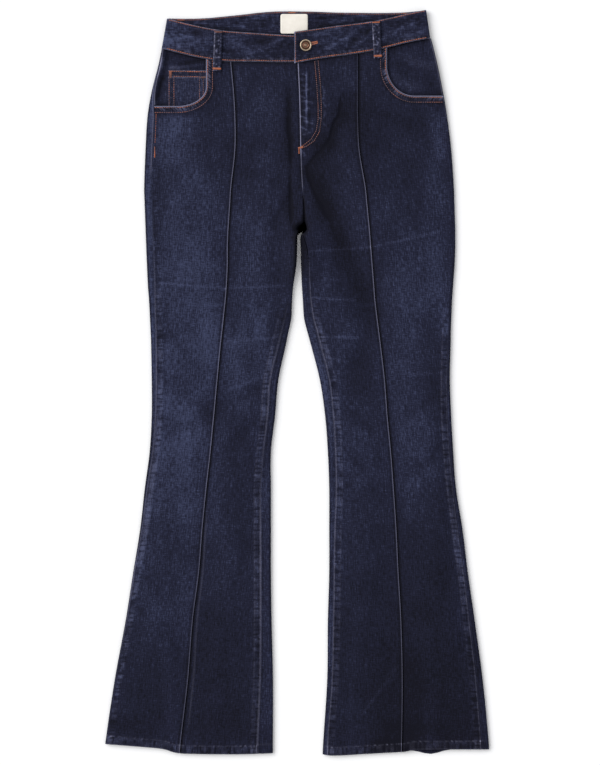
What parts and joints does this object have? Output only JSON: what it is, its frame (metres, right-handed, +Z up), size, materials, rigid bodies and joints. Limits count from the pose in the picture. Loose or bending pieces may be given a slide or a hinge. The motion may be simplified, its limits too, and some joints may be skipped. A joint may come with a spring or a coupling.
{
  "type": "flared jeans",
  "caption": "Flared stretch-denim jeans laid flat front up, with a buttoned waistband, fly, belt loops, curved front pockets, a coin pocket and a seam down the middle of each leg.",
  "frame": {"origin": "middle of the garment's outline, on the surface it lies on", "axes": "+X to the wearer's left, +Y from hem to waist, +Z up out of the front of the garment"},
  "size_m": [0.5601, 1.0871, 0.0142],
  "materials": {
    "denim": "dark indigo stretch denim, matt twill",
    "zip_tape": "navy woven zip tape",
    "zip_metal": "antique brass zip teeth",
    "antique_brass": "antique brass, worn bright on its rim",
    "woven_label": "ivory satin woven label, left bare"
  },
  "bodies": {
    "root": {"front_outer_right": "denim", "front_inner_right": "denim", "front_outer_left": "denim", "front_inner_left": "denim", "back_right": "denim", "back_left": "denim", "waistband_right": "denim", "waistband_left": "denim", "waistband_back": "denim", "pocket_facing_right": "denim", "pocket_facing_left": "denim", "coin_pocket": "denim", "fly_shield": "denim", "zip_tape": "zip_tape", "zip_chain": "zip_metal", "button": "antique_brass", "belt_loop_front_right": "denim", "belt_loop_front_left": "denim", "belt_loop_back_right": "denim", "belt_loop_back_middle": "denim", "belt_loop_back_left": "denim", "label": "woven_label"}
  },
  "joints": []
}
